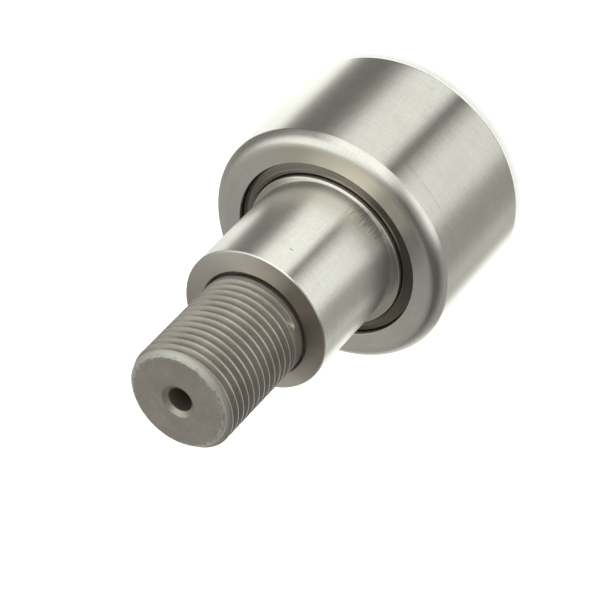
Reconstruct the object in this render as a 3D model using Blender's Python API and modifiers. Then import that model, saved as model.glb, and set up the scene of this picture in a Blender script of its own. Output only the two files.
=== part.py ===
"""Stud-type cam follower with an eccentric bushing.

The stud stands upright on its head. The roller ring turns on caged needle
rollers around the stud's journal, and the eccentric bushing sits on the shank
above the end plate. Units are metres, +Z runs along the stud towards its thread.
"""

import math

import bmesh
import bpy
from mathutils import Matrix

# Roller ring
RING_RADIUS = 0.0254
RING_BOTTOM = 0.0004
RING_TOP = 0.0321
RING_CORNER_RADIUS = 0.00324
RING_CORNER_LEFT_OVER = math.radians(15.0)
RING_CORNER_STEPS = 4
RECESS_RADIUS = 0.01916
RECESS_CHAMFER = 0.00012
RACEWAY_RADIUS = 0.01584
RACEWAY_CHAMFER = 0.0002

# Head, journal, end plate
HEAD_RADIUS = 0.0165
HEAD_THICKNESS = 0.0036
HEAD_CHAMFER = 0.0003
JOURNAL_RADIUS = 0.0123
PLATE_RADIUS = 0.0165
PLATE_BOTTOM = 0.0289
PLATE_TOP = 0.0325
PLATE_CHAMFER = 0.0002
SIDE_PLAY = 0.0002

# Shank, thread and holes of the stud
SHANK_RADIUS = 0.01111
SHANK_CLEARANCE = 0.00012
STUD_TOP = 0.0844
THREAD_RADIUS = 0.01102
THREAD_PITCH = 0.0254 / 14.0
THREAD_DEPTH = 0.00098
THREAD_ROOT_WIDTH = THREAD_PITCH / 4.0
THREAD_END_RADIUS = 0.00961
THREAD_END_CHAMFER = 0.00105
THREAD_START_ANGLE = math.radians(252.5)
RELIEF_RADIUS = 0.00992
RELIEF_BOTTOM = 0.0572
RELIEF_TOP = 0.0590
LUBE_HOLE_RADIUS = 0.00249
LUBE_SINK_RADIUS = 0.0035
LUBE_SINK_DEPTH = 0.00078
LUBE_HOLE_BOTTOM = 0.0150
CROSS_HOLE_RADIUS = 0.0015
SOCKET_ACROSS_FLATS = 0.0111
SOCKET_DEPTH = 0.008

# Eccentric bushing
BUSHING_RADIUS = 0.01516
BUSHING_ECCENTRICITY = 0.001
BUSHING_BOTTOM = PLATE_TOP + 0.00015
BUSHING_TOP = 0.0583
BUSHING_CHAMFER = 0.0003
BORE_CHAMFER = 0.00015

# Needle rollers and their cage
NEEDLE_COUNT = 18
NEEDLE_RADIUS = 0.00175
NEEDLE_PITCH_RADIUS = 0.01406
NEEDLE_BOTTOM = 0.0055
NEEDLE_TOP = 0.0270
NEEDLE_CHAMFER = 0.0003
CAGE_INNER_RADIUS = 0.0130
CAGE_OUTER_RADIUS = 0.0151
POCKET_CLEARANCE_SIDE = 0.00005
POCKET_CLEARANCE_END = 0.0001

# Seals
SEAL_INNER_RADIUS = 0.0167
SEAL_OUTER_RADIUS = 0.01902
SEAL_INNER_DEPTH = 0.00094
SEAL_OUTER_DEPTH = 0.00195
SEAL_THICKNESS = 0.0007
SEAL_LIP = 0.00015
SEAL_FOOT_WIDTH = 0.0007
SEAL_FLOOR_GAP = 0.00025

# Facets
ROUND_STEPS = 60
STUD_STEPS = 36
THREAD_STEPS = 24
NEEDLE_STEPS = 14
MERGE = 0.00001

COLLECTION_NAME = "cam_follower"
CUTTER_COLLECTION_NAME = "cutters"


def new_collection(name):
    """Make a collection in the scene."""
    collection = bpy.data.collections.new(name)
    bpy.context.scene.collection.children.link(collection)
    return collection


def steel(name, colour, roughness, metallic=1.0):
    """Make a Principled material."""
    material = bpy.data.materials.new(name)
    material.use_nodes = True
    shader = material.node_tree.nodes["Principled BSDF"]
    shader.inputs["Base Color"].default_value = (*colour, 1.0)
    shader.inputs["Roughness"].default_value = roughness
    shader.inputs["Metallic"].default_value = metallic
    return material


def add_object(name, mesh, collection, material=None):
    """Put a mesh in a collection as a named object."""
    obj = bpy.data.objects.new(name, mesh)
    collection.objects.link(obj)
    if material is not None:
        mesh.materials.append(material)
    return obj


def make_cutter(obj):
    """Keep a cutter out of the renders and out of the part."""
    obj.hide_render = True
    obj.display_type = "WIRE"
    return obj


def turned(name, profile, closed, steps, collection, material=None):
    """Turn a profile of (radius, height) points about the object's Z axis.

    The points run down the outer side. A closed profile makes a ring; an open
    one starts and ends on the axis.
    """
    count = len(profile)
    edges = [(index, index + 1) for index in range(count - 1)]
    if closed:
        edges.append((count - 1, 0))
    mesh = bpy.data.meshes.new(name)
    mesh.from_pydata([(radius, 0.0, height) for radius, height in profile], edges, [])
    obj = add_object(name, mesh, collection, material)
    screw = obj.modifiers.new("Turn", "SCREW")
    screw.axis = "Z"
    screw.angle = 2.0 * math.pi
    screw.steps = steps
    screw.render_steps = steps
    screw.use_merge_vertices = True
    screw.merge_threshold = MERGE
    screw.use_smooth_shade = True
    return obj


def cut(obj, cutter):
    """Subtract a cutter from an object."""
    boolean = obj.modifiers.new("Cut " + cutter.name, "BOOLEAN")
    boolean.operation = "DIFFERENCE"
    boolean.solver = "EXACT"
    boolean.object = cutter


def drill(name, sides, radius, low, high, collection, turn=None):
    """Make a straight cutter between two heights, turned afterwards if asked."""
    work = bmesh.new()
    bmesh.ops.create_cone(
        work, cap_ends=True, segments=sides, radius1=radius, radius2=radius, depth=high - low
    )
    bmesh.ops.translate(work, vec=(0.0, 0.0, (low + high) / 2.0), verts=work.verts)
    mesh = bpy.data.meshes.new(name)
    work.to_mesh(mesh)
    work.free()
    obj = add_object(name, mesh, collection)
    if turn is not None:
        obj.matrix_world = turn
    return make_cutter(obj)


def mirrored_heights(profile):
    """Mirror a ring's profile from the stud side to the head side."""
    middle = RING_BOTTOM + RING_TOP
    return [(radius, middle - height) for radius, height in reversed(profile)]


def ring_corner():
    """Points of the upper corner, from the side face to the running surface."""
    centre_radius = RING_RADIUS - RING_CORNER_RADIUS * math.cos(RING_CORNER_LEFT_OVER)
    centre_height = RING_TOP - RING_CORNER_RADIUS
    start = math.pi / 2.0
    sweep = start - RING_CORNER_LEFT_OVER
    points = []
    for step in range(RING_CORNER_STEPS + 1):
        angle = start - sweep * step / RING_CORNER_STEPS
        radius = centre_radius + RING_CORNER_RADIUS * math.cos(angle)
        height = centre_height + RING_CORNER_RADIUS * math.sin(angle)
        points.append((radius, height))
    return points


def make_outer_ring(parts, material):
    """Roller ring: big turned corners, a stepped recess at each side, raceway between."""
    upper = [(RECESS_RADIUS + RECESS_CHAMFER, RING_TOP)] + ring_corner()
    shoulder = PLATE_BOTTOM - SIDE_PLAY
    inner = [
        (RACEWAY_RADIUS, shoulder - RACEWAY_CHAMFER),
        (RACEWAY_RADIUS + RACEWAY_CHAMFER, shoulder),
        (RECESS_RADIUS, shoulder),
        (RECESS_RADIUS, RING_TOP - RECESS_CHAMFER),
    ]
    profile = upper + mirrored_heights(upper) + mirrored_heights(inner) + inner
    return turned("outer_ring", profile, True, ROUND_STEPS, parts, material)


def seal_profile():
    """Dished seal in the upper recess: lip at the plate, foot on the recess floor."""
    lip_top = RING_TOP - SEAL_INNER_DEPTH
    edge_top = RING_TOP - SEAL_OUTER_DEPTH
    floor = PLATE_BOTTOM - SIDE_PLAY + SEAL_FLOOR_GAP
    foot_radius = SEAL_OUTER_RADIUS - SEAL_FOOT_WIDTH
    return [
        (SEAL_INNER_RADIUS + SEAL_LIP, lip_top),
        (SEAL_OUTER_RADIUS, edge_top),
        (SEAL_OUTER_RADIUS, floor),
        (foot_radius, floor),
        (foot_radius, edge_top - SEAL_THICKNESS),
        (SEAL_INNER_RADIUS, lip_top - SEAL_THICKNESS - SEAL_LIP),
        (SEAL_INNER_RADIUS, lip_top - SEAL_LIP),
    ]


def make_seals(parts, material):
    """One seal at each side of the ring."""
    upper = seal_profile()
    lower = mirrored_heights(upper)
    turned("seal_stud_side", upper, True, ROUND_STEPS, parts, material)
    turned("seal_head_side", lower, True, ROUND_STEPS, parts, material)


def make_end_plate(parts, material):
    """Ring pressed on the shank, which keeps the roller on the journal."""
    bore = SHANK_RADIUS + SHANK_CLEARANCE
    profile = [
        (bore, PLATE_TOP),
        (PLATE_RADIUS - PLATE_CHAMFER, PLATE_TOP),
        (PLATE_RADIUS, PLATE_TOP - PLATE_CHAMFER),
        (PLATE_RADIUS, PLATE_BOTTOM + PLATE_CHAMFER),
        (PLATE_RADIUS - PLATE_CHAMFER, PLATE_BOTTOM),
        (bore, PLATE_BOTTOM),
    ]
    return turned("end_plate", profile, True, ROUND_STEPS, parts, material)


def make_bushing(parts, cutters, material):
    """Sleeve whose outside is off the stud's axis and whose bore is on it."""
    body_profile = [
        (0.0, BUSHING_TOP),
        (BUSHING_RADIUS - BUSHING_CHAMFER, BUSHING_TOP),
        (BUSHING_RADIUS, BUSHING_TOP - BUSHING_CHAMFER),
        (BUSHING_RADIUS, BUSHING_BOTTOM + BUSHING_CHAMFER),
        (BUSHING_RADIUS - BUSHING_CHAMFER, BUSHING_BOTTOM),
        (0.0, BUSHING_BOTTOM),
    ]
    body = turned("eccentric_bushing", body_profile, False, ROUND_STEPS, parts, material)
    body.location = (0.0, -BUSHING_ECCENTRICITY, 0.0)
    bore = SHANK_RADIUS + SHANK_CLEARANCE
    past = 0.001
    bore_profile = [
        (0.0, BUSHING_TOP + past),
        (bore + BORE_CHAMFER + past, BUSHING_TOP + past),
        (bore, BUSHING_TOP - BORE_CHAMFER),
        (bore, BUSHING_BOTTOM + BORE_CHAMFER),
        (bore + BORE_CHAMFER + past, BUSHING_BOTTOM - past),
        (0.0, BUSHING_BOTTOM - past),
    ]
    bore_cutter = turned("bushing_bore", bore_profile, False, STUD_STEPS, cutters)
    cut(body, make_cutter(bore_cutter))
    return body


def make_thread_cutter(cutters):
    """Closed helical cutter with the thread's V groove as its section."""
    root_radius = THREAD_RADIUS - THREAD_DEPTH
    past_crest = 0.00006
    outside = THREAD_RADIUS + 0.0008
    flank = math.tan(math.radians(30.0))
    half_root = THREAD_ROOT_WIDTH / 2.0
    half_mouth = half_root + (THREAD_DEPTH + past_crest) * flank
    section = [
        (root_radius, half_root),
        (THREAD_RADIUS + past_crest, half_mouth),
        (outside, half_mouth),
        (outside, -half_mouth),
        (THREAD_RADIUS + past_crest, -half_mouth),
        (root_radius, -half_root),
    ]
    start_height = RELIEF_TOP - THREAD_PITCH
    turns = math.ceil((STUD_TOP - start_height) / THREAD_PITCH) + 1
    count = len(section)
    edges = [(index, (index + 1) % count) for index in range(count)]
    sketch = bpy.data.meshes.new("thread_section")
    sketch.from_pydata([(radius, 0.0, height) for radius, height in section], edges, [])
    helix = add_object("thread_helix", sketch, cutters)
    screw = helix.modifiers.new("Helix", "SCREW")
    screw.axis = "Z"
    screw.angle = 2.0 * math.pi
    screw.screw_offset = THREAD_PITCH
    screw.iterations = turns
    screw.steps = THREAD_STEPS
    screw.render_steps = THREAD_STEPS
    screw.use_merge_vertices = False
    evaluated = helix.evaluated_get(bpy.context.evaluated_depsgraph_get())
    mesh = bpy.data.meshes.new_from_object(evaluated)
    mesh.name = "thread_groove"
    bpy.data.objects.remove(helix)
    work = bmesh.new()
    work.from_mesh(mesh)
    open_edges = [edge for edge in work.edges if edge.is_boundary]
    bmesh.ops.holes_fill(work, edges=open_edges)
    bmesh.ops.recalc_face_normals(work, faces=work.faces)
    work.to_mesh(mesh)
    work.free()
    groove = add_object("thread_groove", mesh, cutters)
    groove.location = (0.0, 0.0, start_height)
    groove.rotation_euler = (0.0, 0.0, THREAD_START_ANGLE)
    return make_cutter(groove)


def stud_profile():
    """Half section of the stud, from the bottom of its oil drilling over the top to the head."""
    tip = LUBE_HOLE_BOTTOM - LUBE_HOLE_RADIUS * math.tan(math.radians(30.0))
    journal_top = PLATE_BOTTOM - SIDE_PLAY
    return [
        (0.0, tip),
        (LUBE_HOLE_RADIUS, LUBE_HOLE_BOTTOM),
        (LUBE_HOLE_RADIUS, STUD_TOP - LUBE_SINK_DEPTH),
        (LUBE_SINK_RADIUS, STUD_TOP),
        (THREAD_END_RADIUS, STUD_TOP),
        (THREAD_RADIUS, STUD_TOP - THREAD_END_CHAMFER),
        (THREAD_RADIUS, RELIEF_TOP),
        (RELIEF_RADIUS, RELIEF_TOP - (THREAD_RADIUS - RELIEF_RADIUS) / 3.0),
        (RELIEF_RADIUS, RELIEF_BOTTOM),
        (SHANK_RADIUS, RELIEF_BOTTOM - (SHANK_RADIUS - RELIEF_RADIUS)),
        (SHANK_RADIUS, journal_top),
        (JOURNAL_RADIUS - HEAD_CHAMFER, journal_top),
        (JOURNAL_RADIUS, journal_top - HEAD_CHAMFER),
        (JOURNAL_RADIUS, HEAD_THICKNESS),
        (HEAD_RADIUS - HEAD_CHAMFER, HEAD_THICKNESS),
        (HEAD_RADIUS, HEAD_THICKNESS - HEAD_CHAMFER),
        (HEAD_RADIUS, HEAD_CHAMFER),
        (HEAD_RADIUS - HEAD_CHAMFER, 0.0),
        (0.0, 0.0),
    ]


def make_stud(parts, cutters, material):
    """Stud with head, hexagon socket, journal, shank, oil drillings and right-hand thread."""
    stud = turned("stud", stud_profile(), False, STUD_STEPS, parts, material)
    past = 0.001
    socket_radius = SOCKET_ACROSS_FLATS / 2.0 / math.cos(math.pi / 6.0)
    cut(stud, drill("hexagon_socket", 6, socket_radius, -past, SOCKET_DEPTH, cutters))
    lay_along_x = Matrix.Rotation(math.pi / 2.0, 4, "Y")
    lift = Matrix.Translation((0.0, 0.0, (NEEDLE_BOTTOM + NEEDLE_TOP) / 2.0 + past))
    reach = JOURNAL_RADIUS + past
    cross = drill("cross_hole", 12, CROSS_HOLE_RADIUS, 0.0, reach, cutters, lift @ lay_along_x)
    cut(stud, cross)
    cut(stud, make_thread_cutter(cutters))
    return stud


def make_cage(parts, cutters, material):
    """Sleeve with a pocket for each needle roller."""
    bottom = HEAD_THICKNESS + SIDE_PLAY
    top = PLATE_BOTTOM - SIDE_PLAY
    profile = [
        (CAGE_OUTER_RADIUS, top),
        (CAGE_OUTER_RADIUS, bottom),
        (CAGE_INNER_RADIUS, bottom),
        (CAGE_INNER_RADIUS, top),
    ]
    cage = turned("roller_cage", profile, True, ROUND_STEPS, parts, material)
    width = 2.0 * (NEEDLE_RADIUS + POCKET_CLEARANCE_SIDE)
    length = NEEDLE_TOP - NEEDLE_BOTTOM + 2.0 * POCKET_CLEARANCE_END
    past = 0.0005
    depth = CAGE_OUTER_RADIUS - CAGE_INNER_RADIUS + 2.0 * past
    middle_radius = (CAGE_OUTER_RADIUS + CAGE_INNER_RADIUS) / 2.0
    middle_height = (NEEDLE_BOTTOM + NEEDLE_TOP) / 2.0
    work = bmesh.new()
    for index in range(NEEDLE_COUNT):
        turn = Matrix.Rotation(needle_angle(index), 4, "Z")
        move = Matrix.Translation((middle_radius, 0.0, middle_height))
        size = Matrix.Diagonal((depth, width, length, 1.0))
        bmesh.ops.create_cube(work, size=1.0, matrix=turn @ move @ size)
    mesh = bpy.data.meshes.new("cage_pockets")
    work.to_mesh(mesh)
    work.free()
    cut(cage, make_cutter(add_object("cage_pockets", mesh, cutters)))
    return cage


def needle_angle(index):
    """Angle of a needle roller about the stud's axis."""
    return 2.0 * math.pi * index / NEEDLE_COUNT


def make_needles(parts, material):
    """Separate needle rollers, each with its origin on its own axis."""
    profile = [
        (0.0, NEEDLE_TOP),
        (NEEDLE_RADIUS - NEEDLE_CHAMFER, NEEDLE_TOP),
        (NEEDLE_RADIUS, NEEDLE_TOP - NEEDLE_CHAMFER),
        (NEEDLE_RADIUS, NEEDLE_BOTTOM + NEEDLE_CHAMFER),
        (NEEDLE_RADIUS - NEEDLE_CHAMFER, NEEDLE_BOTTOM),
        (0.0, NEEDLE_BOTTOM),
    ]
    for index in range(NEEDLE_COUNT):
        name = "needle_roller_{:02d}".format(index + 1)
        needle = turned(name, profile, False, NEEDLE_STEPS, parts, material)
        angle = needle_angle(index)
        x = NEEDLE_PITCH_RADIUS * math.cos(angle)
        y = NEEDLE_PITCH_RADIUS * math.sin(angle)
        needle.location = (x, y, 0.0)


def main():
    """Clear the scene and make every part."""
    for obj in list(bpy.data.objects):
        bpy.data.objects.remove(obj)
    parts = new_collection(COLLECTION_NAME)
    cutters = new_collection(CUTTER_COLLECTION_NAME)
    ground = steel("ground_steel", (0.62, 0.61, 0.57), 0.24)
    turned_finish = steel("turned_steel", (0.52, 0.50, 0.46), 0.36)
    oxide = steel("black_oxide_steel", (0.20, 0.19, 0.175), 0.5)
    polished = steel("bearing_steel", (0.68, 0.68, 0.67), 0.16)
    pressed = steel("cage_steel", (0.45, 0.45, 0.44), 0.4)
    seal = steel("seal_plastic", (0.11, 0.115, 0.10), 0.45, 0.0)
    make_stud(parts, cutters, oxide)
    make_end_plate(parts, turned_finish)
    make_bushing(parts, cutters, ground)
    make_outer_ring(parts, ground)
    make_seals(parts, seal)
    make_cage(parts, cutters, pressed)
    make_needles(parts, polished)


main()
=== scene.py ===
"""Looks of a stud-type cam follower with an eccentric bushing.

Fine turned meshes stand for the stud, bushing, end plate, roller ring, seals
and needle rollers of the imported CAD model, and every surface has a procedural
metal or plastic. Units are metres, +Z runs along the stud towards its thread.
"""

import math

import bmesh
import bpy
from mathutils import Matrix, Vector, noise


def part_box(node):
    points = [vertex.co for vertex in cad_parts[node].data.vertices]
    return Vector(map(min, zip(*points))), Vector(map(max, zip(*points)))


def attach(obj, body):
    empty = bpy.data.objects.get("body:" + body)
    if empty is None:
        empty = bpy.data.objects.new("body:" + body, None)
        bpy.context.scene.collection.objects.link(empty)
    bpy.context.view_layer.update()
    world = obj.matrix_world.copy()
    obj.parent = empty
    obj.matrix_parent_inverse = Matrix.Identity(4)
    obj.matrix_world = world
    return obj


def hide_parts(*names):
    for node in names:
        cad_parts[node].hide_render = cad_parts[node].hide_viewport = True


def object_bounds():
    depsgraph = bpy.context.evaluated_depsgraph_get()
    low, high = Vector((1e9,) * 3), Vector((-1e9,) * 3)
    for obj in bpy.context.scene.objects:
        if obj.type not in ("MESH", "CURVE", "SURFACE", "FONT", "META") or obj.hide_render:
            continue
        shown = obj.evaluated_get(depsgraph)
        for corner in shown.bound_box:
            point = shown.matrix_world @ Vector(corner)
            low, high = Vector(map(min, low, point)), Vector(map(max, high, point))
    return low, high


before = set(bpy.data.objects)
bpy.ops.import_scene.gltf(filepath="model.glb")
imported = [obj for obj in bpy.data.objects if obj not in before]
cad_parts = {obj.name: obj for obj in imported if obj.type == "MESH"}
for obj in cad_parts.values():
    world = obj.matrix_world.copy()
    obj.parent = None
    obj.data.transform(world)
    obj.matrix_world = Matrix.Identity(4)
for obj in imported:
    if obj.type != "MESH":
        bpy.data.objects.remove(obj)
CAD_LOW, CAD_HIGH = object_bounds()

MM = 0.001
TURN = 2.0 * math.pi

# Resolution of the fine meshes
STEPS = 192
NEEDLE_STEPS = 32
ARC_STEPS = 5
CORNER_STEPS = 14
SHARP_ANGLE = math.radians(34.0)
WELD = 0.5e-6

# Roller ring
CORNER_RADIUS = 3.24 * MM
CORNER_LEFT_OVER = math.radians(15.0)
RECESS_RADIUS = 19.16 * MM
RACEWAY_RADIUS = 15.84 * MM
RING_EDGE = 0.06 * MM

# Stud
SHANK_RADIUS = 11.11 * MM
JOURNAL_RADIUS = 12.3 * MM
HEAD_THICKNESS = 3.6 * MM
THREAD_RADIUS = 11.02 * MM
THREAD_PITCH = 25.4 * MM / 14.0
THREAD_DEPTH = 0.98 * MM
THREAD_HALF_ANGLE = math.radians(30.0)
THREAD_START_ANGLE = math.radians(252.5)
THREAD_CREST_EDGE = 0.05 * MM
THREAD_ROOT_ROUND = 0.14 * MM
THREAD_FLANK_ROWS = 6
THREAD_END_RADIUS = 9.61 * MM
THREAD_END_CHAMFER = 1.05 * MM
THREAD_TOP_GAP = 0.28 * MM
NECK_RADIUS = 10.93 * MM
NECK_BOTTOM = 58.85 * MM
NECK_TOP = 59.0 * MM
RELIEF_RADIUS = 10.3 * MM
RELIEF_BOTTOM = 57.2 * MM
THREAD_FIRST_TURN = 1.61
THREAD_RUN_IN = 0.03
LUBE_HOLE_RADIUS = 2.49 * MM
LUBE_HOLE_BOTTOM = 15.0 * MM
LUBE_SINK_RADIUS = 3.5 * MM
LUBE_SINK_DEPTH = 0.78 * MM
DRILL_POINT = math.radians(30.0)
SOCKET_APOTHEM = 5.55 * MM
SOCKET_DEPTH = 8.0 * MM
SOCKET_MOUTH = 6.75 * MM
SOCKET_DRILL_RADIUS = SOCKET_APOTHEM * 0.93
SOCKET_DRILL_DEPTH = SOCKET_APOTHEM * 0.5

# Worn crests: uneven rolling, and nicks where the quick noise is above its threshold
WEAR_DEPTH = 0.012 * MM
NICK_DEPTH = 0.05 * MM
NICK_THRESHOLD = 0.35

# Bushing and end plate
PLATE_GAP = 0.2 * MM
PLATE_TOP_GAP = 0.01 * MM
FOOT_CHAMFER = 0.14 * MM
BORE_LIP = 1.0 * MM
BORE_RADIUS = 11.23 * MM
BORE_MOUTH = 0.24 * MM
PLATE_EDGE = 0.13 * MM
BUSHING_EDGE = 0.22 * MM

# Needles
NEEDLE_ROUND = 0.35 * MM

# Seals
SEAL_LIP_DEPTH = 0.34 * MM
SEAL_LIP_GAP = 0.26 * MM
SEAL_BEAD = 0.34 * MM
SEAL_WEB_DEPTH = 0.52 * MM
SEAL_EDGE_DEPTH = 1.08 * MM
SEAL_THICKNESS = 0.7 * MM

# Colours: pairs are the lightest and the darkest, or the two that a mask blends
RING_STEEL = ((0.70, 0.69, 0.65, 1.0), (0.55, 0.54, 0.50, 1.0))
BUSHING_STEEL = ((0.80, 0.79, 0.745, 1.0), (0.64, 0.63, 0.59, 1.0))
# Bushing end face: the darker colour is painted shade on one side of the face
BUSHING_FACE_AND_PAINTED_SHADE = ((0.70, 0.67, 0.61, 1.0), (0.43, 0.385, 0.335, 1.0))
PLATE_STEEL = ((0.76, 0.745, 0.705, 1.0), (0.63, 0.61, 0.57, 1.0))
# End plate face: the lighter colour is a painted highlight, the darker painted shade
PLATE_FACE_PAINTED_HIGHLIGHT_AND_SHADE = ((0.97, 0.96, 0.93, 1.0), (0.46, 0.435, 0.39, 1.0))
NEEDLE_STEEL = ((0.74, 0.74, 0.73, 1.0), (0.66, 0.66, 0.65, 1.0))
CAGE_STEEL = ((0.50, 0.50, 0.49, 1.0), (0.38, 0.38, 0.37, 1.0))
OXIDE = ((0.31, 0.285, 0.25, 1.0), (0.40, 0.37, 0.33, 1.0))
SEAL = ((0.17, 0.15, 0.125, 1.0), (0.24, 0.22, 0.19, 1.0))
FLOOR = ((0.93, 0.93, 0.925, 1.0), (0.95, 0.95, 0.945, 1.0))
WORN_OXIDE = (0.56, 0.56, 0.51, 1.0)
THREAD_ROOT = (0.08, 0.062, 0.05, 1.0)
HOLE = (0.10, 0.075, 0.06, 1.0)
STAIN = (0.36, 0.31, 0.26, 1.0)
SPECK = (0.12, 0.11, 0.10, 1.0)
WARM_TINT = (0.56, 0.515, 0.43, 1.0)
SCRATCH = (0.16, 0.15, 0.13, 1.0)
# Painted highlight on the bushing's side near its foot
PAINTED_FOOT_HIGHLIGHT = (0.97, 0.96, 0.925, 1.0)
SMUDGE = (0.20, 0.15, 0.10, 1.0)
DARK_SPECK = (0.10, 0.09, 0.08, 1.0)

# Middle of the ring faces' warm tint
TINT_AZIMUTH = math.radians(-84.0)
# Middle of the painted shade on the bushing's end face
PAINTED_SHADE_AZIMUTH = math.radians(-138.0)
# Middle of the painted highlight on the end plate's face
PLATE_PAINTED_HIGHLIGHT_AZIMUTH = math.radians(-86.0)
# Heights between which a painted highlight makes the bushing's side brighter towards its foot
BUSHING_PAINTED_HIGHLIGHT_TOP = 38.0 * MM
BUSHING_PAINTED_HIGHLIGHT_FOOT = 33.4 * MM
# Patches: azimuth and half width in degrees, height, half height, soft border
RING_SCRATCH = (-119.0, 15.0, 25.85 * MM, 0.03 * MM, 0.05 * MM)
BUSHING_SMUDGE = (-116.0, 20.0, 34.0 * MM, 0.9 * MM, 3.0 * MM)
BUSHING_SPECK = (-91.0, 1.6, 52.4 * MM, 0.06 * MM, 0.12 * MM)
# Share of a patch's half width with no fading at its sides
PATCH_CORE = 0.6
# Mean roughness that fine lines and grain add to a bare steel
ADDED_ROUGHNESS = 0.04
# Smallest radius that a direction from the axis is divided by
NOT_ZERO = 0.01 * MM

# Camera
CAMERA_AIM = (-0.00305, 0.00092, 0.04593)
CAMERA_AZIMUTH = math.radians(-16.80)
CAMERA_ELEVATION = math.radians(42.07)
CAMERA_ROLL = math.radians(136.18)
CAMERA_DISTANCE = 0.67494
CAMERA_LENS = 215.44
CAMERA_SENSOR = 36.0
CAMERA_RANGE = (0.01, 10.0)

# ---------------------------------------------------------------- meshes


def rounded(corners, steps=ARC_STEPS, closed=False):
    """Turn (radius, height, rounding) corners into (radius, height) points."""
    points = []
    count = len(corners)
    for index, (radius, height, rounding) in enumerate(corners):
        here = Vector((radius, height))
        at_end = not closed and index in (0, count - 1)
        if rounding <= 0.0 or at_end:
            points.append((radius, height))
            continue
        before = Vector(corners[index - 1][:2]) - here
        after = Vector(corners[(index + 1) % count][:2]) - here
        half = before.angle(after) / 2.0
        before.normalize()
        after.normalize()
        middle = here + (before + after).normalized() * (rounding / math.sin(half))
        start = here + before * (rounding / math.tan(half)) - middle
        end = here + after * (rounding / math.tan(half)) - middle
        sweep = start.angle_signed(end)
        for step in range(steps + 1):
            angle = -sweep * step / steps
            cosine, sine = math.cos(angle), math.sin(angle)
            points.append((
                middle.x + start.x * cosine - start.y * sine,
                middle.y + start.x * sine + start.y * cosine,
            ))
    return points


def add_piece(work, name, location=(0.0, 0.0, 0.0)):
    """Clean a bmesh, make it an object and shade it smooth between sharp edges."""
    bmesh.ops.remove_doubles(work, verts=work.verts, dist=WELD)
    bmesh.ops.recalc_face_normals(work, faces=work.faces)
    mesh = bpy.data.meshes.new(name)
    work.to_mesh(mesh)
    work.free()
    mesh.shade_smooth()
    mesh.set_sharp_from_angle(angle=SHARP_ANGLE)
    obj = bpy.data.objects.new(name, mesh)
    obj.location = location
    bpy.context.scene.collection.objects.link(obj)
    weighted = obj.modifiers.new("Flat faces stay flat", "WEIGHTED_NORMAL")
    weighted.keep_sharp = True
    return obj


def add_row(work, radius, height, steps, shift=0.0):
    """Ring of vertices. A radius or height may be a function of the angle."""
    row = []
    for step in range(steps):
        angle = TURN * step / steps
        r = radius(angle) if callable(radius) else radius
        z = height(angle) if callable(height) else height
        row.append(work.verts.new((r * math.cos(angle), r * math.sin(angle) + shift, z)))
    return row


def bridge(work, first, second):
    """Faces between two rings; either may be the one vertex of a pole."""
    steps = max(len(first), len(second))
    for step in range(steps):
        after = (step + 1) % steps
        if len(first) == 1:
            work.faces.new((first[0], second[step], second[after]))
        elif len(second) == 1:
            work.faces.new((first[step], second[0], first[after]))
        else:
            work.faces.new((first[step], second[step], second[after], first[after]))


def add_section(work, points, steps, shifts=None):
    """Rings for a section's points, bridged one to the next; a pole is one vertex."""
    rows = []
    for index, (radius, height) in enumerate(points):
        shift = shifts[index] if shifts else 0.0
        if radius <= 0.0:
            rows.append([work.verts.new((0.0, shift, height))])
        else:
            rows.append(add_row(work, radius, height, steps, shift))
    for first, second in zip(rows, rows[1:]):
        bridge(work, first, second)
    return rows


def turned(name, points, closed, steps=STEPS, shifts=None, location=(0.0, 0.0, 0.0)):
    """Turn a profile about Z. shifts moves single rings along Y, for an offset bore."""
    work = bmesh.new()
    rows = add_section(work, points, steps, shifts)
    if closed:
        bridge(work, rows[-1], rows[0])
    return add_piece(work, name, location)


def finish_piece(piece, body, slot, material, *nodes):
    """Hang a piece on its body and let it stand for its CAD nodes."""
    piece.data.materials.append(material)
    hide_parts(*nodes)
    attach(piece, body)
    return piece


# ---------------------------------------------------------------- ring, seals, plate, bushing


def mirrored(points, middle):
    """The same profile on the head side."""
    return [(radius, 2.0 * middle - height) for radius, height in reversed(points)]


def ring_points(low, high):
    """Section of the roller ring with its two big turned corners."""
    top, radius = high.z, high.x
    middle = (low.z + high.z) / 2.0
    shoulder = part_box("end_plate")[0].z - PLATE_GAP
    centre_radius = radius - CORNER_RADIUS * math.cos(CORNER_LEFT_OVER)
    centre_height = top - CORNER_RADIUS
    sweep = math.pi / 2.0 - CORNER_LEFT_OVER
    upper = []
    for step in range(CORNER_STEPS + 1):
        angle = math.pi / 2.0 - sweep * step / CORNER_STEPS
        upper.append((
            centre_radius + CORNER_RADIUS * math.cos(angle),
            centre_height + CORNER_RADIUS * math.sin(angle),
        ))
    recess = rounded([
        (RACEWAY_RADIUS, middle, 0.0),
        (RACEWAY_RADIUS, shoulder, 0.2 * MM),
        (RECESS_RADIUS, shoulder, 0.3 * MM),
        (RECESS_RADIUS, top, 2.0 * RING_EDGE),
        (centre_radius, top, 0.0),
    ])
    side = recess[1:-1] + upper
    return side + mirrored(side, middle)


def make_ring(material):
    """Roller ring."""
    low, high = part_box("outer_ring")
    ring = turned("outer_ring_fine", ring_points(low, high), True)
    return finish_piece(ring, "roller", "ground_steel", material, "outer_ring")


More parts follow.
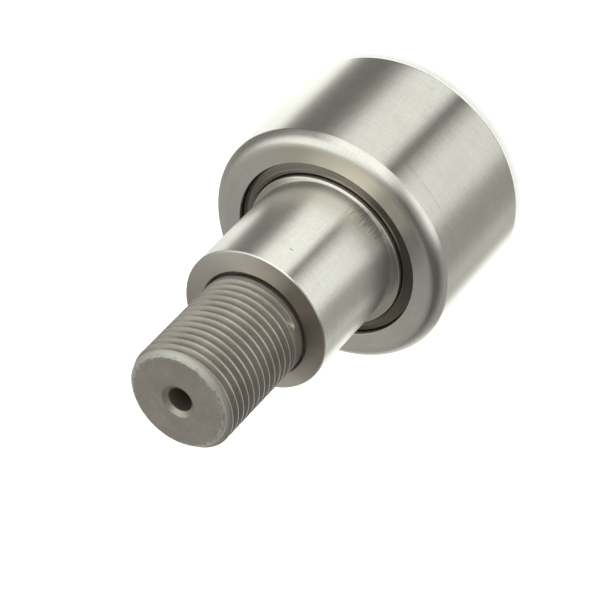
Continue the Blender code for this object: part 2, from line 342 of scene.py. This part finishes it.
def seal_points(low, high, ring_top):
    """Section of the upper seal: beaded lip, flat web, foot in the recess."""
    lip_top = ring_top - SEAL_LIP_DEPTH
    web_top = ring_top - SEAL_WEB_DEPTH
    edge_top = ring_top - SEAL_EDGE_DEPTH
    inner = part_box("end_plate")[1].x + SEAL_LIP_GAP
    outer = high.x
    foot = outer - SEAL_THICKNESS
    return rounded([
        (inner, lip_top, 0.15 * MM),
        (inner + SEAL_BEAD, lip_top, 0.15 * MM),
        (inner + SEAL_BEAD + 0.1 * MM, web_top, 0.08 * MM),
        (outer, edge_top, 0.35 * MM),
        (outer, low.z, 0.1 * MM),
        (foot, low.z, 0.1 * MM),
        (foot, web_top - SEAL_THICKNESS, 0.1 * MM),
        (inner, lip_top - SEAL_THICKNESS, 0.12 * MM),
    ], closed=True)


def make_seals(material):
    """One seal at each side of the ring."""
    ring_low, ring_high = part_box("outer_ring")
    low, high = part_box("seal_stud_side")
    points = seal_points(low, high, ring_high.z)
    middle = (ring_low.z + ring_high.z) / 2.0
    sides = (("seal_stud_side", points), ("seal_head_side", mirrored(points, middle)))
    for node, section in sides:
        seal = turned(node + "_fine", section, True)
        finish_piece(seal, "roller", "seal_plastic", material, node)


def make_end_plate(material):
    """Ring pressed on the shank, with a bright turned edge."""
    low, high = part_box("end_plate")
    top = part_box("eccentric_bushing")[0].z - PLATE_TOP_GAP
    points = rounded([
        (BORE_RADIUS, top, 0.05 * MM),
        (high.x - PLATE_EDGE, top, 0.06 * MM),
        (high.x, top - PLATE_EDGE, 0.06 * MM),
        (high.x, low.z + PLATE_EDGE, 0.06 * MM),
        (high.x - PLATE_EDGE, low.z, 0.06 * MM),
        (BORE_RADIUS, low.z, 0.05 * MM),
    ], closed=True)
    plate = turned("end_plate_fine", points, True)
    return finish_piece(plate, "stud", "turned_steel", material, "end_plate")


def make_bushing(material):
    """Sleeve ground outside, bored off its centre."""
    low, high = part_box("eccentric_bushing")
    radius = (high.x - low.x) / 2.0
    offset = (high.y + low.y) / 2.0
    outside = rounded([
        (BORE_RADIUS + BORE_LIP, high.z, 0.0),
        (radius - BUSHING_EDGE, high.z, 0.1 * MM),
        (radius, high.z - BUSHING_EDGE, 0.1 * MM),
        (radius, low.z + BUSHING_EDGE, 0.1 * MM),
        (radius - BUSHING_EDGE, low.z, 0.1 * MM),
        (BORE_RADIUS + BORE_LIP, low.z, 0.0),
    ])[1:-1]
    bore = rounded([
        (BORE_RADIUS + BORE_LIP, low.z, 0.0),
        (BORE_RADIUS + FOOT_CHAMFER, low.z, 0.04 * MM),
        (BORE_RADIUS, low.z + FOOT_CHAMFER, 0.04 * MM),
        (BORE_RADIUS, high.z - BORE_MOUTH, 0.06 * MM),
        (BORE_RADIUS + BORE_MOUTH, high.z, 0.06 * MM),
        (BORE_RADIUS + BORE_LIP, high.z, 0.0),
    ])[1:-1]
    shifts = [0.0] * len(outside) + [-offset] * len(bore)
    bushing = turned("eccentric_bushing_fine", outside + bore, True, shifts=shifts,
                     location=(0.0, offset, 0.0))
    return finish_piece(bushing, "stud", "ground_steel", material, "eccentric_bushing")


def make_needles(material):
    """Needle rollers with rounded ends, each on its own axis."""
    for node in sorted(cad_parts):
        if not node.startswith("needle_roller"):
            continue
        low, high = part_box(node)
        centre = (low + high) / 2.0
        radius = max(high.x - low.x, high.y - low.y) / 2.0
        points = rounded([
            (0.0, high.z, 0.0),
            (radius, high.z, NEEDLE_ROUND),
            (radius, low.z, NEEDLE_ROUND),
            (0.0, low.z, 0.0),
        ])
        needle = turned(node + "_fine", points, False, NEEDLE_STEPS,
                        location=(centre.x, centre.y, 0.0))
        finish_piece(needle, node.replace("_roller", ""), "bearing_steel", material, node)


# ---------------------------------------------------------------- stud


def thread_section():
    """One pitch of the thread, as (share of the pitch, radius), from a groove's middle."""
    root = THREAD_RADIUS - THREAD_DEPTH
    half_root = THREAD_PITCH / 8.0
    flank = THREAD_DEPTH * math.tan(THREAD_HALF_ANGLE)
    points = rounded([
        (root, 0.0, 0.0),
        (root, half_root, THREAD_ROOT_ROUND),
        (THREAD_RADIUS, half_root + flank, THREAD_CREST_EDGE),
        (THREAD_RADIUS, THREAD_PITCH - half_root - flank, THREAD_CREST_EDGE),
        (root, THREAD_PITCH - half_root, THREAD_ROOT_ROUND),
        (root, THREAD_PITCH, 0.0),
    ], steps=3)
    fine = []
    for (radius, height), (next_radius, next_height) in zip(points, points[1:]):
        rows = THREAD_FLANK_ROWS if abs(next_radius - radius) > THREAD_DEPTH / 2.0 else 1
        for row in range(rows):
            share = row / rows
            fine.append((
                (height + (next_height - height) * share) / THREAD_PITCH,
                radius + (next_radius - radius) * share,
            ))
    return fine


def thread_wear(angle, height):
    """Small loss of radius on the crests: nicks and uneven rolling."""
    spot = Vector((math.cos(angle), math.sin(angle), height / THREAD_PITCH))
    slow = noise.noise(spot * 2.3)
    quick = noise.noise(spot * 11.0 + Vector((7.0, 3.0, 1.0)))
    return WEAR_DEPTH * (slow + 0.6) + NICK_DEPTH * max(0.0, quick - NICK_THRESHOLD)


def cut_by_end(radius, height, top):
    """Limit the thread's radius by the end chamfer's cone."""
    slope = (THREAD_RADIUS - THREAD_END_RADIUS) / THREAD_END_CHAMFER
    return min(radius, THREAD_END_RADIUS + (top - height) * slope)


def run_in(radius, share, turns):
    """Let crest and groove rise from the plain neck where the thread starts."""
    is_next_groove = radius < NECK_RADIUS and share < 0.5
    start = THREAD_FIRST_TURN + (1.0 if is_next_groove else 0.0)
    grown = min(max((turns - start) / THREAD_RUN_IN, 0.0), 1.0)
    return NECK_RADIUS + (radius - NECK_RADIUS) * grown


def add_thread(work, low, high, top):
    """Helical rows between two heights. Rows step up by one pitch per turn."""
    section = thread_section()
    per_turn = len(section)
    start = NECK_TOP - THREAD_PITCH * (1.0 + THREAD_START_ANGLE / TURN)
    first_turn = math.floor((low - start) / THREAD_PITCH) - 1
    last_turn = math.ceil((high - start) / THREAD_PITCH) + 1
    rows = []
    for turn in range(first_turn, last_turn + 1):
        for share, radius in section:
            row = []
            for step in range(STEPS):
                angle = TURN * step / STEPS
                turns = turn + step / STEPS
                height = start + THREAD_PITCH * (turns + share)
                wear = 0.0
                if radius > THREAD_RADIUS - 0.2 * MM:
                    wear = thread_wear(angle, height)
                height = min(max(height, low), high)
                r = cut_by_end(run_in(radius - wear, share, turns), height, top)
                row.append(work.verts.new((r * math.cos(angle), r * math.sin(angle), height)))
            rows.append(row)
    for index in range(len(rows) - 1):
        for step in range(STEPS - 1):
            work.faces.new((rows[index][step], rows[index + 1][step],
                            rows[index + 1][step + 1], rows[index][step + 1]))
        if index + 1 + per_turn < len(rows):
            work.faces.new((rows[index][-1], rows[index + 1][-1],
                            rows[index + 1 + per_turn][0], rows[index + per_turn][0]))


def socket_radius(angle):
    """Distance from the axis to the hexagon's flat or corner at this angle."""
    sixth = math.radians(60.0)
    from_flat = (angle + sixth / 2.0) % sixth - sixth / 2.0
    return SOCKET_APOTHEM / math.cos(from_flat)


def make_stud(material):
    """Stud in one mesh: oil drilling, end, thread, shank, journal, head, hexagon socket."""
    low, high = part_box("stud")
    top, head_radius = high.z, high.x
    thread_high = top - THREAD_TOP_GAP
    journal_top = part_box("end_plate")[0].z - PLATE_GAP
    tip = LUBE_HOLE_BOTTOM - LUBE_HOLE_RADIUS * math.tan(DRILL_POINT)
    upper = rounded([
        (0.0, tip, 0.0),
        (LUBE_HOLE_RADIUS, LUBE_HOLE_BOTTOM, 0.0),
        (LUBE_HOLE_RADIUS, top - LUBE_SINK_DEPTH, 0.1 * MM),
        (LUBE_SINK_RADIUS, top, 0.12 * MM),
        (THREAD_END_RADIUS, top, 0.09 * MM),
        (cut_by_end(THREAD_RADIUS, thread_high, top), thread_high, 0.0),
    ])
    lower = rounded([
        (NECK_RADIUS, NECK_TOP, 0.0),
        (NECK_RADIUS, NECK_BOTTOM, 0.05 * MM),
        (RELIEF_RADIUS, NECK_BOTTOM - 0.2 * MM, 0.1 * MM),
        (RELIEF_RADIUS, RELIEF_BOTTOM, 0.15 * MM),
        (SHANK_RADIUS, RELIEF_BOTTOM - (SHANK_RADIUS - RELIEF_RADIUS), 0.1 * MM),
        (SHANK_RADIUS, journal_top, 0.0),
        (JOURNAL_RADIUS, journal_top, 0.3 * MM),
        (JOURNAL_RADIUS, HEAD_THICKNESS, 0.2 * MM),
        (head_radius, HEAD_THICKNESS, 0.3 * MM),
        (head_radius, low.z, 0.4 * MM),
        (SOCKET_MOUTH, low.z, 0.05 * MM),
        (SOCKET_MOUTH - 0.05 * MM, low.z + 0.05 * MM, 0.0),
    ])
    work = bmesh.new()
    add_section(work, upper, STEPS)
    rows = add_section(work, lower, STEPS)
    add_thread(work, NECK_TOP, thread_high, top)

    def mouth_height(angle):
        return low.z + SOCKET_MOUTH - socket_radius(angle)

    mouth = add_row(work, socket_radius, mouth_height, STEPS)
    deep = add_row(work, socket_radius, SOCKET_DEPTH, STEPS)
    drilled = add_row(work, SOCKET_DRILL_RADIUS, SOCKET_DEPTH, STEPS)
    point = [work.verts.new((0.0, 0.0, SOCKET_DEPTH + SOCKET_DRILL_DEPTH))]
    socket = (rows[-1], mouth, deep, drilled, point)
    for first, second in zip(socket, socket[1:]):
        bridge(work, first, second)
    return finish_piece(add_piece(work, "stud_fine"), "stud", "black_oxide_steel", material,
                        "stud")


# ---------------------------------------------------------------- materials


class Graph:
    """Short names for building a node tree."""

    def __init__(self, tree):
        self.tree = tree
        self.tree.nodes.clear()

    def node(self, kind, inputs=None, **settings):
        """Add a node; inputs maps a socket's name or index to a value or a socket."""
        node = self.tree.nodes.new(kind)
        for key, value in settings.items():
            setattr(node, key, value)
        for key, value in (inputs or {}).items():
            if isinstance(value, bpy.types.NodeSocket):
                self.tree.links.new(value, node.inputs[key])
            else:
                node.inputs[key].default_value = value
        return node

    def math(self, operation, *values):
        """Math node on up to three values."""
        node = self.node("ShaderNodeMath", dict(enumerate(values)), operation=operation)
        return node.outputs[0]

    def fold(self, operation, first, *others):
        """The same operation on one value after another."""
        for value in others:
            first = self.math(operation, first, value)
        return first

    def product(self, *values):
        """Product of the values."""
        return self.fold("MULTIPLY", *values)

    def total(self, *values):
        """Sum of the values."""
        return self.fold("ADD", *values)

    def weighted(self, *pairs):
        """Sum of values, each times its weight."""
        return self.total(*[self.product(value, weight) for value, weight in pairs])

    def difference(self, value, amount):
        """Difference of two values."""
        return self.math("SUBTRACT", value, amount)

    def absolute(self, value):
        """The value without its sign."""
        return self.math("ABSOLUTE", value)

    def step(self, value, low, high, to_low=0.0, to_high=1.0):
        """Smooth step from low to high."""
        inputs = {"Value": value, "From Min": low, "From Max": high,
                  "To Min": to_low, "To Max": to_high}
        node = self.node("ShaderNodeMapRange", inputs, interpolation_type="SMOOTHSTEP")
        return node.outputs["Result"]

    def mix(self, factor, first, second):
        """Mix two colours."""
        inputs = {0: factor, 6: first, 7: second}
        return self.node("ShaderNodeMix", inputs, data_type="RGBA").outputs[2]

    def noise(self, vector, scale, detail=2.0, roughness=0.5):
        """Noise value from 0 to 1."""
        inputs = {"Vector": vector, "Scale": scale, "Detail": detail, "Roughness": roughness}
        return self.node("ShaderNodeTexNoise", inputs).outputs["Fac"]

    def bump(self, height, strength, distance):
        """Bumped normal."""
        inputs = {"Height": height, "Strength": strength, "Distance": distance}
        return self.node("ShaderNodeBump", inputs).outputs[0]

    def combine(self, x, y, z):
        """Vector from three values."""
        return self.node("ShaderNodeCombineXYZ", {0: x, 1: y, 2: z}).outputs[0]


class Coordinates:
    """Place on a turned piece: point, radius, height and direction from the axis."""

    def __init__(self, graph):
        self.graph = graph
        self.point = graph.node("ShaderNodeTexCoord").outputs["Object"]
        parts = graph.node("ShaderNodeSeparateXYZ", {0: self.point}).outputs
        self.x, self.y, self.height = parts[0], parts[1], parts[2]
        self.radius = graph.math("SQRT", graph.weighted((self.x, self.x), (self.y, self.y)))
        not_zero = graph.math("MAXIMUM", self.radius, NOT_ZERO)
        self.along_x = graph.math("DIVIDE", self.x, not_zero)
        self.along_y = graph.math("DIVIDE", self.y, not_zero)

    def towards(self, angle):
        """1 at this angle round the axis, 0 a quarter turn from it, -1 opposite."""
        return self.graph.weighted((self.along_x, math.cos(angle)),
                                   (self.along_y, math.sin(angle)))

    def wrapped(self, around, z):
        """Coordinates that run round the axis, with a third value of their own."""
        x = self.graph.product(self.along_x, around)
        y = self.graph.product(self.along_y, around)
        return self.graph.combine(x, y, z)

    def axial(self, around, along):
        """Coordinates that are stretched along the axis and tight round it."""
        return self.wrapped(around, self.graph.product(self.height, along))

    def lathe(self, middle, around, spacing):
        """Coordinates that are stretched round the axis and tight across it.

        The third value is a distance along the section, so that lines follow
        the lathe on sides and on faces.
        """
        from_middle = self.graph.absolute(self.graph.difference(self.height, middle))
        section = self.graph.difference(from_middle, self.radius)
        return self.wrapped(around, self.graph.math("DIVIDE", section, spacing))


def new_material(name):
    """Empty node material and its graph."""
    material = bpy.data.materials.new(name)
    material.use_nodes = True
    return material, Graph(material.node_tree)


def finish_material(graph, inputs):
    """Put a principled shader with these inputs on the output."""
    shader = graph.node("ShaderNodeBsdfPrincipled", inputs)
    graph.node("ShaderNodeOutputMaterial", {"Surface": shader.outputs[0]})


def near(graph, value, centre, half, soft):
    """1 within half of the centre, fading out over soft."""
    distance = graph.absolute(graph.difference(value, centre))
    return graph.step(distance, half, half + soft, 1.0, 0.0)


def patch(graph, place, azimuth, width, centre, half, soft):
    """Mask for a patch on a turned side, by azimuth in degrees and by height."""
    edge = math.cos(math.radians(width))
    fade = math.cos(math.radians(width * PATCH_CORE))
    across = graph.step(place.towards(math.radians(azimuth)), edge, fade)
    return graph.product(across, near(graph, place.height, centre, half, soft))


def face_mask(graph):
    """1 where the surface looks along the axis, 0 on turned sides."""
    normal = graph.node("ShaderNodeNewGeometry").outputs["Normal"]
    upright = graph.node("ShaderNodeSeparateXYZ", {0: normal}).outputs[2]
    return graph.step(graph.absolute(upright), 0.90, 0.995)


def steel(name, colours, middle, side=(0.24, 0.7), face=(0.36, 0.7), specks=0.4, lines=0.6,
          streaks=0.25, marks_and_painted_light=None):
    """Bare steel with lathe or grinding lines, faint stains and small specks.

    colours are the lightest and the darkest. side and face are the roughness and
    anisotropy of the two kinds of surface. marks paints what one piece has alone,
    on the bushing and the end plate also painted highlights and painted shade.
    """
    material, graph = new_material(name)
    place = Coordinates(graph)
    on_face = face_mask(graph)
    fine = graph.noise(place.lathe(middle, 5.0, 0.12 * MM), 1.0, 3.0, 0.6)
    wide = graph.noise(place.lathe(middle, 2.0, 0.9 * MM), 1.0, 2.0)
    slow = graph.noise(place.point, 120.0, 3.0)
    grain = graph.noise(place.point, 3800.0, 2.0, 0.7)
    axial = graph.noise(place.axial(90.0, 220.0), 1.0, 3.0, 0.6)
    stain = graph.step(graph.noise(place.point, 260.0, 4.0), 0.56, 0.78)
    speck = graph.step(graph.noise(place.point, 2600.0, 1.0), 0.75, 0.82)
    shade = graph.weighted((fine, 0.35), (wide, 0.12), (slow, 0.2), (grain, 0.33),
                           (graph.difference(axial, 0.5), streaks))
    lightest, darkest = colours
    base = graph.mix(graph.step(shade, 0.25, 0.75), darkest, lightest)
    base = graph.mix(graph.product(stain, 0.10), base, STAIN)
    base = graph.mix(graph.product(speck, specks), base, SPECK)
    if marks_and_painted_light:
        base = marks_and_painted_light(graph, place, base, on_face)
    rough = graph.total(
        graph.step(on_face, 0.0, 1.0, side[0] - ADDED_ROUGHNESS, face[0] - ADDED_ROUGHNESS),
        graph.product(fine, 0.05),
        graph.product(grain, 0.03),
    )
    height = graph.total(fine, graph.product(speck, -0.8))
    finish_material(graph, {
        "Base Color": base,
        "Metallic": 1.0,
        "Roughness": rough,
        "Anisotropic": graph.step(on_face, 0.0, 1.0, side[1], face[1]),
        "Anisotropic Rotation": 0.25,
        "Tangent": graph.node("ShaderNodeTangent", direction_type="RADIAL", axis="Z").outputs[0],
        "Normal": graph.bump(height, 0.5 * lines, 0.004 * MM),
    })
    return material


def ring_marks(graph, place, base, on_face):
    """Warm tint over a third of the faces and one hair scratch round the ring."""
    tint = graph.product(graph.step(place.towards(TINT_AZIMUTH), 0.55, 0.95), on_face)
    mottle = graph.step(graph.noise(place.point, 90.0, 2.0), 0.3, 0.7, 0.6, 1.0)
    base = graph.mix(graph.product(tint, mottle), base, WARM_TINT)
    broken = graph.step(graph.noise(place.point, 900.0, 2.0), 0.36, 0.52)
    scratch = graph.product(patch(graph, place, *RING_SCRATCH), broken, 0.55)
    return graph.mix(scratch, base, SCRATCH)


def bushing_marks_and_painted_light(graph, place, base, on_face):
    """Warm end face with painted shade on one side, painted highlight on the side near the foot,
    brown smudge in streaks along the axis, one dark speck.
    """
    unevenness = graph.difference(graph.noise(place.point, 150.0, 3.0), 0.5)
    # Painted shade: the end face gets darker towards one side, made uneven by noise
    painted_shade = graph.total(graph.step(place.towards(PAINTED_SHADE_AZIMUTH), 0.1, 0.95), unevenness)
    base = graph.mix(on_face, base, graph.mix(painted_shade, *BUSHING_FACE_AND_PAINTED_SHADE))
    # Painted highlight: the side, not the end face, gets lighter towards the foot
    foot = graph.step(place.height, BUSHING_PAINTED_HIGHLIGHT_TOP, BUSHING_PAINTED_HIGHLIGHT_FOOT)
    base = graph.mix(graph.product(foot, graph.difference(1.0, on_face)), base, PAINTED_FOOT_HIGHLIGHT)
    streaks = graph.step(graph.noise(place.axial(60.0, 260.0), 1.0, 3.0), 0.42, 0.62)
    smudge = graph.product(patch(graph, place, *BUSHING_SMUDGE), streaks, 0.5)
    base = graph.mix(smudge, base, SMUDGE)
    speck = graph.product(patch(graph, place, *BUSHING_SPECK), 0.7)
    return graph.mix(speck, base, DARK_SPECK)


def plate_painted_highlight_and_shade(graph, place, base, on_face):
    """Turned face with a painted highlight on one side and painted shade on the other."""
    # Painted highlight towards one side of the face, painted shade away from it
    painted_shade = graph.step(place.towards(PLATE_PAINTED_HIGHLIGHT_AZIMUTH), 0.98, 0.55)
    return graph.mix(graph.product(on_face, 0.9), base, graph.mix(painted_shade, *PLATE_FACE_PAINTED_HIGHLIGHT_AND_SHADE))


def oxide_steel(middle, top):
    """Warm grey oxide, worn bright on the thread's crests and on the end chamfer."""
    material, graph = new_material("worn_black_oxide")
    place = Coordinates(graph)
    slow = graph.noise(place.point, 160.0, 4.0, 0.6)
    grain = graph.noise(place.point, 2200.0, 3.0, 0.6)
    lines = graph.noise(place.lathe(middle, 4.0, 0.16 * MM), 1.0, 3.0)
    mottle = graph.step(graph.weighted((slow, 0.6), (grain, 0.4)), 0.3, 0.7)
    above_neck = graph.step(place.height, NECK_TOP, NECK_TOP + 0.2 * MM)

    ragged = graph.product(graph.difference(grain, 0.5), 0.10 * MM)
    crest = graph.step(graph.total(place.radius, ragged),
                       THREAD_RADIUS - 0.05 * MM, THREAD_RADIUS - 0.005 * MM)
    crest = graph.product(crest, above_neck)
    edge_noise = graph.difference(graph.noise(place.point, 900.0, 6.0, 0.8), 0.5)
    chamfer = graph.step(graph.total(place.radius, graph.product(edge_noise, 4.6 * MM)),
                         THREAD_END_RADIUS - 0.06 * MM, THREAD_END_RADIUS + 0.06 * MM)
    near_end = graph.step(place.height, top - THREAD_END_CHAMFER, top - 0.5 * MM)
    chamfer = graph.product(chamfer, near_end)
    worn = graph.math("MAXIMUM", graph.product(crest, 0.75), graph.product(chamfer, 0.7))

    root = graph.step(place.radius, THREAD_RADIUS - 0.55 * MM, THREAD_RADIUS - THREAD_DEPTH)
    below_end = graph.step(place.height, top - 1.0 * MM, top - 1.3 * MM)
    root = graph.product(root, above_neck, below_end, 0.08)
    hole = graph.step(place.radius, LUBE_HOLE_RADIUS + 0.15 * MM, LUBE_HOLE_RADIUS + 0.02 * MM)
    base = graph.mix(mottle, *OXIDE)
    base = graph.mix(root, base, THREAD_ROOT)
    base = graph.mix(worn, base, WORN_OXIDE)
    base = graph.mix(hole, base, HOLE)
    rough = graph.total(0.38, graph.product(chamfer, 0.12), graph.product(grain, 0.06))
    finish_material(graph, {
        "Base Color": base,
        "Metallic": graph.difference(0.85, graph.product(hole, 0.75)),
        "Roughness": rough,
        "Normal": graph.bump(graph.weighted((lines, 0.5), (grain, 0.5)), 0.5, 0.012 * MM),
    })
    return material


def seal_material(middle):
    """Dark moulded seal, slightly glossy, with faint turned rings."""
    material, graph = new_material("moulded_seal")
    place = Coordinates(graph)
    rings = graph.noise(place.lathe(middle, 2.0, 0.25 * MM), 1.0, 2.0)
    grain = graph.noise(place.point, 1800.0, 3.0)
    height = graph.total(rings, graph.product(grain, 0.1))
    finish_material(graph, {
        "Base Color": graph.mix(graph.step(rings, 0.3, 0.7), *SEAL),
        "Metallic": 1.0,
        "Roughness": graph.total(0.17, graph.product(grain, 0.04)),
        "Normal": graph.bump(height, 0.3, 0.003 * MM),
    })
    return material


# ---------------------------------------------------------------- studio

# Soft boxes and dark cards round the object: azimuth and elevation of the centre,
# half width, half height, soft side edges and soft upper edges in degrees, brightness.
# Cards further down the list cover those before them.
STUDIO_CARDS = (
    (-78.0, 12.0, 30.0, 52.0, 14.0, 20.0, 1.60),
    (-25.0, 54.0, 52.0, 24.0, 24.0, 16.0, 1.42),
    (-140.0, -2.0, 24.0, 28.0, 12.0, 22.0, 1.42),
    (145.0, 55.0, 42.0, 38.0, 18.0, 18.0, 0.10),
    (-165.0, 72.0, 42.0, 15.0, 20.0, 10.0, 0.14),
    (100.0, -28.0, 18.0, 22.0, 12.0, 20.0, 1.05),
    (10.0, -8.0, 26.0, 22.0, 14.0, 14.0, 0.27),
    (-14.0, -45.0, 22.0, 28.0, 10.0, 12.0, 0.22),
    (-140.0, -58.0, 24.0, 36.0, 9.0, 12.0, 1.08),
    (-71.0, -58.0, 22.0, 36.0, 8.0, 12.0, 1.18),
    (-101.0, -54.0, 5.5, 30.0, 6.0, 9.0, 0.08),
    (140.0, -55.0, 9.0, 30.0, 9.0, 10.0, 0.75),
    (63.0, -72.0, 50.0, 32.0, 8.0, 8.0, 1.9),
)
STUDIO_BASE = 0.44
# Tints of dim and of bright reflections, and the even light that all else gets
STUDIO_TINTS = ((1.0, 0.965, 0.91, 1.0), (0.985, 1.0, 0.955, 1.0))
SOFT_LIGHT = (1.0, 1.0, 0.99, 1.0)
SOFT_STRENGTH = 1.15

FLOOR_SIZE = 3.0
FLOOR_GAP = 0.05 * MM
FLOOR_GLOW = 0.35


def studio_card(graph, azimuth, elevation, sky, card):
    """Blend one soft box or dark card over the sky's brightness."""
    centre, height, half_width, half_height, soft_side, soft_top, brightness = card
    turn = graph.difference(azimuth, math.radians(centre))
    turn = graph.absolute(graph.math("WRAP", turn, math.pi, -math.pi))
    rise = graph.absolute(graph.difference(elevation, math.radians(height)))
    wide = graph.step(turn, math.radians(half_width - soft_side),
                      math.radians(half_width + soft_side), 1.0, 0.0)
    tall = graph.step(rise, math.radians(half_height - soft_top),
                      math.radians(half_height + soft_top), 1.0, 0.0)
    mask = graph.product(wide, tall)
    return graph.weighted((sky, graph.difference(1.0, mask)), (mask, brightness))


def make_studio():
    """White surround with soft boxes that only reflections see."""
    world = bpy.data.worlds.new("studio")
    bpy.context.scene.world = world
    world.use_nodes = True
    graph = Graph(world.node_tree)
    direction = graph.node("ShaderNodeTexCoord").outputs["Generated"]
    parts = graph.node("ShaderNodeSeparateXYZ", {0: direction}).outputs
    azimuth = graph.math("ARCTAN2", parts[1], parts[0])
    elevation = graph.math("ARCSINE", parts[2])
    sky = STUDIO_BASE
    for card in STUDIO_CARDS:
        sky = studio_card(graph, azimuth, elevation, sky, card)
    tint = graph.mix(graph.step(sky, 0.25, 1.0), *STUDIO_TINTS)
    seen = graph.node("ShaderNodeLightPath").outputs
    glossy = graph.node("ShaderNodeBackground", {"Color": tint, "Strength": sky})
    soft = graph.node("ShaderNodeBackground", {"Color": SOFT_LIGHT, "Strength": SOFT_STRENGTH})
    mixed = graph.node("ShaderNodeMixShader", {
        0: seen["Is Glossy Ray"], 1: soft.outputs[0], 2: glossy.outputs[0]})
    graph.node("ShaderNodeOutputWorld", {"Surface": mixed.outputs[0]})


def make_floor():
    """Plain pale floor under the head."""
    work = bmesh.new()
    bmesh.ops.create_grid(work, x_segments=4, y_segments=4, size=FLOOR_SIZE)
    mesh = bpy.data.meshes.new("floor")
    work.to_mesh(mesh)
    work.free()
    floor = bpy.data.objects.new("floor", mesh)
    floor.location = (0.0, 0.0, CAD_LOW.z - FLOOR_GAP)
    bpy.context.scene.collection.objects.link(floor)
    floor.visible_glossy = False
    material, graph = new_material("pale_floor")
    place = graph.node("ShaderNodeTexCoord").outputs["Object"]
    finish_material(graph, {
        "Base Color": graph.mix(graph.noise(place, 3.0), *FLOOR),
        "Roughness": 0.9,
        "Specular IOR Level": 0.1,
        "Emission Color": (1.0, 1.0, 0.995, 1.0),
        "Emission Strength": FLOOR_GLOW,
    })
    mesh.materials.append(material)


def make_camera():
    """Camera above the stud's end, rolled so that the stud points down to the left."""
    level = math.cos(CAMERA_ELEVATION)
    back = Vector((math.sin(CAMERA_AZIMUTH) * level, -math.cos(CAMERA_AZIMUTH) * level,
                   math.sin(CAMERA_ELEVATION)))
    data = bpy.data.cameras.new("camera")
    data.lens = CAMERA_LENS
    data.sensor_width = CAMERA_SENSOR
    data.clip_start, data.clip_end = CAMERA_RANGE
    camera = bpy.data.objects.new("camera", data)
    bpy.context.scene.collection.objects.link(camera)
    camera.location = Vector(CAMERA_AIM) + back * CAMERA_DISTANCE
    look = (-back).to_track_quat("-Z", "Y").to_matrix()
    roll = Matrix.Rotation(-CAMERA_ROLL, 3, Vector((0.0, 0.0, 1.0)))
    camera.rotation_mode = "QUATERNION"
    camera.rotation_quaternion = (look @ roll).to_quaternion()
    bpy.context.scene.camera = camera


def make_cage(material):
    """Give the CAD's own cage its material."""
    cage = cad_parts["roller_cage"]
    cage.data.materials.clear()
    cage.data.materials.append(material)


def main():
    """Build every piece and the studio."""
    ring_low, ring_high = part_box("outer_ring")
    bushing_low, bushing_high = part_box("eccentric_bushing")
    plate_low, plate_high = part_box("end_plate")
    ring_middle = (ring_low.z + ring_high.z) / 2.0
    bushing_middle = (bushing_low.z + bushing_high.z) / 2.0
    plate_middle = (plate_low.z + plate_high.z) / 2.0
    make_ring(steel("ground_ring_steel", RING_STEEL, ring_middle, marks_and_painted_light=ring_marks))
    make_bushing(steel("ground_bushing_steel", BUSHING_STEEL, bushing_middle,
                       side=(0.26, 0.82), face=(0.40, 0.97), streaks=0.4, marks_and_painted_light=bushing_marks_and_painted_light))
    make_end_plate(steel("turned_plate_steel", PLATE_STEEL, plate_middle,
                         face=(0.30, 0.6), marks_and_painted_light=plate_painted_highlight_and_shade))
    make_seals(seal_material(ring_middle))
    make_needles(steel("lapped_needle_steel", NEEDLE_STEEL, ring_middle, side=(0.16, 0.2),
                       face=(0.2, 0.2), specks=0.1, lines=0.3))
    make_stud(oxide_steel(NECK_TOP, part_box("stud")[1].z))
    make_cage(steel("pressed_cage_steel", CAGE_STEEL, ring_middle, side=(0.34, 0.3)))
    make_studio()
    make_floor()
    make_camera()
    bpy.context.scene.view_settings.view_transform = "Standard"


main()
